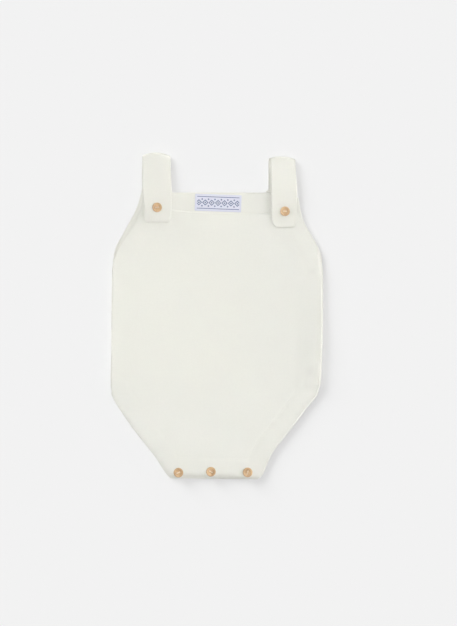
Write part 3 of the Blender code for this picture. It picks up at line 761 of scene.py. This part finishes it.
def strap_piece(strap, material):
    """A strap as one closed band of doubled cloth."""
    middle = strap_grid(strap)
    on_front = 1 - smooth_step(*STRAP_THIN_HEIGHT, middle[..., 1])
    on_front[: LOWER_STATIONS + FOLD_STATIONS] = 0
    inset = strap_inset(strap, middle[..., 0], middle[..., 1])
    thinner = STRAP_THINNING * close_to(inset, STRAP_THIN_REACH)
    from_end = middle[..., 1] - strap.upper[0].y
    thinner = on_front * (thinner + END_THINNING * close_to(from_end, END_THIN_REACH))
    outer = middle - grid_normals(middle) * (STRAP_WALL / 2 - thinner)[..., None]
    coords = np.stack([lengths_along(middle, 1), lengths_along(middle, 0), np.zeros(middle.shape[:2])], -1)
    piece = shell(strap.name + "_knit", outer, STRAP_WALL - thinner, -1, WHOLE, coords)
    return dressed(piece, material, "knit_cloth", strap.name)


def label_piece(material):
    """The label: a woven tape that lies on the inside of the back neck band."""
    across = np.linspace(-0.5, 0.5, LABEL_GRID[0] + 1) * (LABEL_SIZE[0] - LABEL_WALL)
    up = np.linspace(-0.5, 0.5, LABEL_GRID[1] + 1) * (LABEL_SIZE[1] - LABEL_WALL)
    a, b = np.meshgrid(across, up)
    x = LABEL_MIDDLE[0] + a * math.cos(LABEL_TURN) - b * math.sin(LABEL_TURN)
    y = LABEL_MIDDLE[1] + a * math.sin(LABEL_TURN) + b * math.cos(LABEL_TURN)
    ripple = LABEL_RIPPLE * np.sin(a / LABEL_SIZE[0] * LABEL_WAVES * 2 * math.pi) ** 2
    z = WALL + SEAM_GAP + LABEL_WALL + ripple
    coords = np.stack([a, b, np.zeros(a.shape)], -1)
    piece = shell("label_weave", np.stack([x, y, z], -1), LABEL_WALL, 1, WHOLE, coords)
    return dressed(piece, material, "woven_label", "label")


# ---------------------------------------------------------------- buttons
def ring_cells(base, rings, steps):
    """The four corners of each cell between rings of points: one, the one above, and the next ones round."""
    for ring in range(base, base + (rings - 1) * steps, steps):
        for k in range(steps):
            n = (k + 1) % steps
            yield ring + k, ring + steps + k, ring + steps + n, ring + n


def revolve(name, profile, steps):
    """A closed turned shape from (r, z) points that start and end on the axis."""
    inner = [(point.r, point.z) for point in profile[1:-1]]
    angles = np.linspace(0, 2 * math.pi, steps, endpoint=False)
    verts = [(r * math.cos(a), r * math.sin(a), z) for r, z in inner for a in angles]
    top, bottom = len(verts), len(verts) + 1
    verts += [(0, 0, profile[0].z), (0, 0, profile[-1].z)]
    faces = list(ring_cells(0, len(inner), steps))
    last = (len(inner) - 1) * steps
    faces += [(top, k, (k + 1) % steps) for k in range(steps)]
    faces += [(bottom, last + (k + 1) % steps, last + k) for k in range(steps)]
    return mesh_of(name, verts, faces)


def holes_mesh(name):
    """Two cylinders where a button's sewing holes go."""
    shape = bmesh.new()
    size = {"radius1": HOLE_RADIUS, "radius2": HOLE_RADIUS, "depth": 4 * BUTTON_RADIUS}
    for side in (-1, 1):
        made = bmesh.ops.create_cone(shape, cap_ends=True, segments=HOLE_STEPS, **size)
        bmesh.ops.translate(shape, verts=made["verts"], vec=(side * HOLE_SPACING / 2, 0, 0))
    mesh = bpy.data.meshes.new(name)
    shape.to_mesh(mesh)
    shape.free()
    return mesh


def thread_curve(path):
    """A round thread along these points."""
    curve = bpy.data.curves.new("thread", "CURVE")
    curve.dimensions = "3D"
    spline = curve.splines.new("POLY")
    spline.points.add(len(path) - 1)
    for point, place in zip(spline.points, path):
        point.co = (*place, 1.0)
    curve.bevel_depth, curve.bevel_resolution = THREAD_RADIUS, THREAD_RESOLUTION
    curve.use_fill_caps = True
    return curve


def button_piece(button, wood, thread):
    """A dished wooden button with two holes, and the thread that sews it on."""
    turned = placed(button.name + "_wood", revolve(button.name, BUTTON_PROFILE, BUTTON_STEPS))
    cutter = placed(button.name + "_holes", holes_mesh(button.name + "_holes"))
    holes = turned.modifiers.new("sewing holes", "BOOLEAN")
    holes.operation, holes.object, holes.solver = "DIFFERENCE", cutter, "EXACT"
    bpy.context.view_layer.update()
    graph = bpy.context.evaluated_depsgraph_get()
    cut = bpy.data.meshes.new_from_object(turned.evaluated_get(graph))
    turned.modifiers.clear()
    turned.data = cut
    bpy.data.objects.remove(cutter)
    lay = [math.radians(angle) for angle in (*button.tilt, button.turn)]
    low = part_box(button.name)[0].z - SEAM_GAP
    turned.location, turned.rotation_euler = (button.x, button.y, low), lay
    dressed(turned, wood, "wood_button", button.name)
    for number, shift in enumerate(STRANDS):
        path = []
        for t in np.linspace(-1, 1, STRAND_POINTS):
            dip = max(0.0, abs(t) - STRAND_DIP[0]) * HOLE_SPACING * STRAND_DIP[1]
            rise = THREAD_RADIUS * (STRAND_ARCH[0] + STRAND_ARCH[1] * (1 - t * t))
            aside = shift * THREAD_RADIUS * (1 - STRAND_CLOSING * t * t)
            path.append((t * HOLE_SPACING / 2, aside, BUTTON_PROFILE[0].z + rise - dip))
        strand = placed(f"{button.name}_thread_{number}", thread_curve(path))
        strand.location, strand.rotation_euler = turned.location, lay
        dressed(strand, thread, "knit_cloth")


# ---------------------------------------------------------------- stitches
def contour(depth):
    """Points where the front panel is this deep in from its openings, once round its middle."""
    angles = np.linspace(-math.pi, math.pi, ROW_STEPS, endpoint=False)
    cos, sin = np.cos(angles), np.sin(angles)
    near, far = np.zeros(len(angles)), np.full(len(angles), ROW_REACH)
    for _ in range(ROW_HALVINGS):
        middle = (near + far) / 2
        x, y = middle * cos, middle * sin
        left, right = edge("front_left", y), edge("front_right", y)
        top, bottom = neckline(x), crotch_level(np.full(len(x), min(FRONT_CROTCH)), x, FRONT_CROTCH)
        inside = (x > left) & (x < right) & (y < top) & (y > bottom) & (distance_to(OPENINGS, x, y) > depth)
        near, far = np.where(inside, middle, near), np.where(inside, far, middle)
    x, y = near * cos, near * sin
    stitched = [line for line, hem in zip(OPENINGS, HEMS) if hem.stitched]
    at_opening = np.abs(distance_to(stitched, x, y) - depth) < ROW_PLAY
    return x, y, at_opening


def chains(keep):
    """Runs of neighbours that are kept, round a closed ring."""
    start = int(np.argmin(keep))
    runs, run = [], []
    for k in range(start, start + len(keep)):
        if keep[k % len(keep)]:
            run.append(k % len(keep))
        elif run:
            runs.append(run)
            run = []
    return runs + ([run] if run else [])


def stitch_ends(points, stitching):
    """Where each stitch along a line of points starts and ends."""
    steps = np.linalg.norm(np.diff(points, axis=0), axis=1)
    walked = np.insert(np.cumsum(steps), 0, 0.0)
    at = np.arange(stitching.pitch / 2, walked[-1], stitching.pitch)
    ends = []
    for shift in (-stitching.length / 2, stitching.length / 2):
        ends.append(np.stack([np.interp(at + shift, walked, points[:, k]) for k in range(3)], -1))
    return zip(*ends)


def stitch_row(points, stitching):
    """Short rounded stitches along a line on the cloth, as one mesh's points and faces."""
    last = (len(STITCH_SHAPE) - 1) * STITCH_STEPS
    verts, faces = [], []
    for start, end in stitch_ends(points, stitching):
        run = end - start
        length = np.linalg.norm(run)
        if length < stitching.length * SHORTEST_STITCH:
            continue
        run = run / length
        across = np.cross((0.0, 0.0, 1.0), run)
        across /= np.linalg.norm(across)
        up = np.cross(run, across)
        base = len(verts)
        for share, size in STITCH_SHAPE:
            arch = stitching.radius * (math.sin(math.pi * share) - THREAD_SINK)
            centre = start + run * length * share + up * arch
            for k in range(STITCH_STEPS):
                turn = 2 * math.pi * k / STITCH_STEPS
                outward = across * math.cos(turn) + up * math.sin(turn)
                verts.append(centre + outward * stitching.radius * size)
        faces += [(a, d, c, b) for a, b, c, d in ring_cells(base, len(STITCH_SHAPE), STITCH_STEPS)]
        faces.append(tuple(base + k for k in reversed(range(STITCH_STEPS))))
        faces.append(tuple(base + last + k for k in range(STITCH_STEPS)))
    return verts, faces


def hem_stitches(material):
    """Two rows of stitches along the hems of the front panel, as one piece."""
    verts, faces = [], []
    for stitching in HEM_ROWS:
        x, y, keep = contour(stitching.depth)
        z = front_height(x, y, edge("front_left", y), edge("front_right", y))
        for run in chains(keep):
            if len(run) > SHORTEST_ROW:
                row_verts, row_faces = stitch_row(np.column_stack([x[run], y[run], z[run]]), stitching)
                faces += [tuple(k + len(verts) for k in face) for face in row_faces]
                verts += row_verts
    piece = placed("hem_stitches", mesh_of("hem_stitches", [tuple(vert) for vert in verts], faces))
    return dressed(piece, material, "knit_cloth")


# ---------------------------------------------------------------- materials
Grain = namedtuple("Grain", "scale detail roughness")  # of a noise


def maths(operation):
    """A method that makes a math node of this kind."""
    return lambda value, *others: value.math(operation, value, *others)


class Value:
    """What a node puts out. Arithmetic on it makes more nodes."""

    def __init__(self, nodes, socket):
        self.nodes, self.socket = nodes, socket

    def math(self, operation, *values):
        return self.nodes.add("ShaderNodeMath", 0, dict(enumerate(values)), operation=operation)

    __add__, __sub__, __mul__, __truediv__ = map(maths, ("ADD", "SUBTRACT", "MULTIPLY", "DIVIDE"))
    __abs__, __lt__, fraction, most = map(maths, ("ABSOLUTE", "LESS_THAN", "FRACT", "MAXIMUM"))
    sine, root = map(maths, ("SINE", "SQRT"))

    def __rsub__(self, number):
        return self.math("SUBTRACT", number, self)

    def in_cell(self):
        """Where the value lies in its cell of 1, from -0.5 to 0.5."""
        return self.fraction() - 0.5

    def within(self, middle, reach):
        """1 where the value is less than this far from the middle."""
        return abs(self - middle) < reach


class Nodes:
    """Makes a material's nodes in few words."""

    def __init__(self, name):
        self.material = bpy.data.materials.new(name)
        self.material.use_nodes = True
        self.tree = self.material.node_tree
        self.shader = self.tree.nodes["Principled BSDF"]

    def node(self, kind, inputs=(), **settings):
        node = self.tree.nodes.new(kind)
        for key, value in settings.items():
            setattr(node, key, value)
        for key, value in dict(inputs).items():
            self.put(node.inputs[key], value)
        return node

    def put(self, socket, value):
        if isinstance(value, Value):
            self.tree.links.new(value.socket, socket)
        else:
            socket.default_value = value

    def add(self, kind, output, inputs=(), **settings):
        """One output of a new node."""
        return Value(self, self.node(kind, inputs, **settings).outputs[output])

    def on_cloth(self):
        return self.add("ShaderNodeAttribute", "Vector", attribute_name="cloth")

    def on_object(self):
        return self.add("ShaderNodeTexCoord", "Object")

    def vector(self, operation, inputs):
        return self.add("ShaderNodeVectorMath", 0, inputs, operation=operation)

    def parts(self, vector):
        """The first two numbers of a vector."""
        return [Value(self, socket) for socket in self.node("ShaderNodeSeparateXYZ", {0: vector}).outputs[:2]]

    def mix(self, factor, first, second, blend="MIX"):
        inputs = {0: factor, 6: first, 7: second}
        return self.add("ShaderNodeMix", 2, inputs, data_type="RGBA", blend_type=blend)

    def ramp(self, value, low, high):
        """0 at low and 1 at high, smooth between."""
        inputs = {"Value": value, "From Min": low, "From Max": high}
        return self.add("ShaderNodeMapRange", "Result", inputs, interpolation_type="SMOOTHSTEP")

    def noise(self, vector, grain):
        """An even noise, from 0 to 1. Its three sizes are a grain's."""
        sizes = dict(zip(("Scale", "Detail", "Roughness"), grain))
        return self.add("ShaderNodeTexNoise", "Fac", {"Vector": vector, **sizes})

    def shades(self, factor, colour, limits):
        """Between the darkest and the lightest multiple of a colour."""
        return self.mix(factor, *(rgba(colour, limit) for limit in limits))

    def finish(self, finish, colour, height=None, roughness=None):
        """The material: its colour, its bump, and what is the same all over it."""
        sockets = self.shader.inputs
        self.put(sockets["Base Color"], colour)
        self.put(sockets["Roughness"], finish.roughness if roughness is None else roughness)
        sockets["Specular IOR Level"].default_value = finish.specular
        sockets["Sheen Weight"].default_value = finish.sheen
        if height is not None:
            bump = {"Height": height, "Distance": finish.depth, "Strength": 1.0}
            self.put(sockets["Normal"], self.add("ShaderNodeBump", 0, bump))
        return self.material


def rgba(colour, factor=1.0):
    """A linear colour as the four numbers that a socket takes."""
    return (*(channel * factor for channel in colour), 1.0)


WALE, COURSE = 0.00150, 0.00115  # width and height of one knit stitch
STITCH_SLANT = 1.15  # how steeply a stitch's legs run up, in courses
LEG_PLACE, LEG_WIDTH, LEG_ROUNDING = 0.26, 0.27, 3.2
WANDER_NOISE = {"Scale": 260.0, "Detail": 1.0}
WANDER = 0.0009  # how far a stitch strays from its place
FUZZ, BROAD, FINE = Grain(2600.0, 3.0, 0.6), Grain(26.0, 3.0, 0.55), Grain(420.0, 2.0, 0.5)
FUZZ_RELIEF, FUZZ_ROUGHNESS = 0.35, 0.1
STITCH_SHADE = 0.10  # painted shade: how much darker a stitch's foot, down between the stitches, is made than its top
WARM, COOL = (1.0, 0.997, 0.985), (0.985, 0.985, 0.99)
PAINTED_SHADE_TINT = (0.974, 0.976, 0.986)  # painted shade: how much darker and greyer the cloth's colour is made at its right side and its foot
PAINTED_SHADE_ACROSS, PAINTED_SHADE_DOWN = (-0.010, 0.080), (-0.030, -0.130)  # between these places


def knit_height(u, v):
    """0 to 1 over the V-shaped stitches of plain knit: columns of them side by side."""
    out = abs((u / WALE).in_cell())
    along = (v / COURSE + out * STITCH_SLANT).in_cell()
    leg = (out - LEG_PLACE) / LEG_WIDTH
    round_leg, round_row = 1.0 - leg * leg, 1.0 - along * along * LEG_ROUNDING
    return (round_leg * round_row).most(0.0)


def knit_material():
    """Cream fine-gauge jersey, soft and matt."""
    nodes = Nodes("romper_knit")
    place = nodes.on_cloth()
    wander = nodes.add("ShaderNodeTexNoise", "Color", {"Vector": place, **WANDER_NOISE})
    shift = nodes.vector("SUBTRACT", {0: wander, 1: (0.5, 0.5, 0.5)})
    cloth = nodes.vector("ADD", {0: place, 1: nodes.vector("SCALE", {0: shift, 3: WANDER})})
    height, fuzz = knit_height(*nodes.parts(cloth)), nodes.noise(place, FUZZ)
    # painted shade at the foot of each stitch, and tone that differs at random
    shade = height * STITCH_SHADE + nodes.noise(place, FINE) * STITCH_SHADE
    base = nodes.shades(shade, KNIT_COLOUR, KNIT_SHADES)
    warm = nodes.mix(nodes.noise(place, BROAD), rgba(WARM), rgba(COOL))
    plain = nodes.mix(1.0, base, warm, "MULTIPLY")
    across, up = nodes.parts(place)
    # painted shade: the colour is made darker and greyer towards the right side and the foot
    painted_shade = nodes.ramp(across, *PAINTED_SHADE_ACROSS).most(nodes.ramp(up, *PAINTED_SHADE_DOWN))
    shaded_colour = nodes.mix(painted_shade, plain, nodes.mix(1.0, plain, rgba(PAINTED_SHADE_TINT), "MULTIPLY"))
    rough = fuzz * FUZZ_ROUGHNESS + KNIT_FINISH.roughness
    return nodes.finish(KNIT_FINISH, shaded_colour, height + fuzz * FUZZ_RELIEF, rough)


THREAD_TWIST = {"Scale": 900.0, "Distortion": 1.5}


def thread_material(name, dyed):
    """Sewing thread of this colour with a fine twist."""
    nodes = Nodes(name)
    twist = nodes.add("ShaderNodeTexWave", "Fac", {"Vector": nodes.on_object(), **THREAD_TWIST})
    return nodes.finish(THREAD_FINISH, nodes.shades(twist, dyed, THREAD_SHADES), twist)


MARK_PITCH = 0.0076  # from one diamond to the next
MARK_REACH = 0.0250  # how far out from the label's middle its band of marks goes
# In pitches: how far out a diamond's outline lies and half its width, the heart, the dots between the
# diamonds, and the lines above and below.
DIAMOND, HEART, DOT_PLACE, DOT, BORDER = (0.40, 0.085), 0.15, 0.52, 0.15, (0.92, 0.05)
MARK_STRENGTH, MARK_RELIEF = 0.95, 0.6
WEFT, WARP = 0.00042, 0.00048  # from one thread to the next
WEAVE_NOISE = Grain(1500.0, 2.0, 0.6)


def label_material():
    """Lavender-white damask tape with a band of blue diamonds and dots."""
    nodes = Nodes("label_weave")
    place = nodes.on_cloth()
    u, v = nodes.parts(place)
    beside, aside = u / MARK_PITCH, abs(v) / MARK_PITCH
    diamond = abs((beside + 0.5).in_cell()) + aside
    shapes = diamond.within(*DIAMOND).most(diamond < HEART)
    from_dot = abs(beside.in_cell()) + abs(aside - DOT_PLACE)
    trim = (from_dot < DOT).most(aside.within(*BORDER))
    marks = shapes.most(trim) * (abs(u) < MARK_REACH)
    weft, warp = (v * (2 * math.pi / WEFT)).sine(), (u * (2 * math.pi / WARP)).sine()
    weave = weft * warp * 0.5 + 0.5
    threads = nodes.noise(place, WEAVE_NOISE)
    ground = nodes.shades(threads, LABEL_GROUND, LABEL_SHADES)
    ink = nodes.shades(threads, LABEL_MARK, MARK_SHADES)
    colour = nodes.mix(marks * MARK_STRENGTH, ground, ink)
    return nodes.finish(LABEL_FINISH, colour, weave + marks * MARK_RELIEF)


PAINTED_RIM_LIGHT_SPAN, PAINTED_RIM_LIGHT = (0.0034, 0.0048), 0.22  # painted light: the raised rim is made paler than the dish, from here to here out from the axis
ALONG_GRAIN = (0.16, 1.0, 1.0)  # how the wood's noise is stretched
WOOD_GRAIN = Grain(2600.0, 4.0, 0.6)
WOOD_RINGS = {"Scale": 190.0, "Distortion": 5.0, "Detail": 2.0}
GRAIN_SHADE, RING_SHADE, RING_RELIEF = 0.6, 0.35, 0.3


def wood_material():
    """Light turned wood with fine grain, a little darker at the pores, with painted shade in the dish and a
    painted highlight on the rim.
    """
    nodes = Nodes("button_wood")
    place = nodes.on_object()
    random = nodes.add("ShaderNodeObjectInfo", "Random")
    offset = nodes.add("ShaderNodeCombineXYZ", 0, {0: random, 1: random, 2: 0.0})
    long = nodes.vector("MULTIPLY", {0: nodes.vector("ADD", {0: place, 1: offset}), 1: ALONG_GRAIN})
    grain = nodes.noise(long, WOOD_GRAIN)
    rings = nodes.add("ShaderNodeTexWave", "Fac", {"Vector": long, **WOOD_RINGS})
    across, up = nodes.parts(place)
    # painted highlight on the raised rim, which leaves the dish darker
    painted_rim = nodes.ramp((across * across + up * up).root(), *PAINTED_RIM_LIGHT_SPAN)
    grain_and_painted_light = grain * GRAIN_SHADE + rings * RING_SHADE + painted_rim * PAINTED_RIM_LIGHT
    colour = nodes.mix(grain_and_painted_light, rgba(WOOD_DARK), rgba(WOOD_LIGHT))
    return nodes.finish(WOOD_FINISH, colour, grain + rings * RING_RELIEF)


PAPER_TOOTH = Grain(900.0, 2.0, 0.5)


def floor_material():
    """Plain pale paper."""
    nodes = Nodes("pale_floor")
    tooth = nodes.noise(nodes.on_object(), PAPER_TOOTH)
    return nodes.finish(FLOOR_FINISH, nodes.shades(tooth, FLOOR_COLOUR, FLOOR_SHADES))


# ---------------------------------------------------------------- pieces
def build_romper():
    """Every piece of cloth, the label, the buttons and the stitching."""
    knit, wood = knit_material(), wood_material()
    thread = thread_material("sewing_thread", THREAD_COLOUR)
    button_thread = thread_material("button_thread", BUTTON_THREAD_COLOUR)
    front, walls = front_grid()
    across = lengths_along(front, 1) + front[:, front.shape[1] // 2, 0][:, None]
    coords = np.stack([across, front[..., 1], np.zeros(across.shape)], -1)
    front_piece = shell("front_panel_knit", front, walls, 1, Band(*[HIDDEN_BAND] * 3), coords)
    dressed(front_piece, knit, "knit_cloth", "front_panel")
    back, walls = back_grid()
    band = Band(HIDDEN_BAND, NECK_BAND, HIDDEN_BAND)
    back_piece = shell("back_panel_knit", back, walls, -1, band, back * [1, 1, 0])
    dressed(back_piece, knit, "knit_cloth", "back_panel")
    straps = [strap_piece(strap, knit) for strap in STRAPS]
    label = label_piece(label_material())
    for button in BUTTONS:
        button_piece(button, wood, button_thread)
    hem_stitches(thread)


def build_stage():
    """The pale surface, the light and the camera."""
    scene = bpy.context.scene
    bpy.ops.mesh.primitive_plane_add(size=FLOOR_SIZE, location=(0, 0, -FLOOR_SINK))
    floor = bpy.context.object
    floor.name = "floor"
    floor.data.materials.append(floor_material())

    scene.world = bpy.data.worlds.new("soft_room")
    scene.world.use_nodes = True
    background = scene.world.node_tree.nodes["Background"]
    background.inputs["Color"].default_value = (1.0, 1.0, 1.0, 1.0)
    background.inputs["Strength"].default_value = SKY_STRENGTH

    pieces = [thing for thing in scene.objects if thing is not floor and thing.type in ("MESH", "CURVE")]
    receivers = {"floor": [floor], "romper": pieces}
    for light in SUNS:
        sun = placed(light.name, bpy.data.lights.new(light.name, "SUN"))
        sun.data.energy, sun.data.angle = light.strength, math.radians(light.angle)
        sun.rotation_mode = "QUATERNION"
        sun.rotation_quaternion = Vector(light.toward).to_track_quat("Z", "Y")
        if light.lights in receivers:
            lit = bpy.data.collections.new("lit_by_" + light.name)
            for thing in receivers[light.lights]:
                lit.objects.link(thing)
            sun.light_linking.receiver_collection = lit

    camera = placed("camera", bpy.data.cameras.new("camera"))
    camera.location = (*PICTURE_MIDDLE, CAMERA_DISTANCE)
    camera.data.sensor_width = SENSOR
    camera.data.lens = SENSOR * CAMERA_DISTANCE / PICTURE_HEIGHT
    camera.data.clip_start, camera.data.clip_end = CLIP
    scene.camera = camera
    scene.view_settings.view_transform = "Standard"


build_romper()
build_stage()
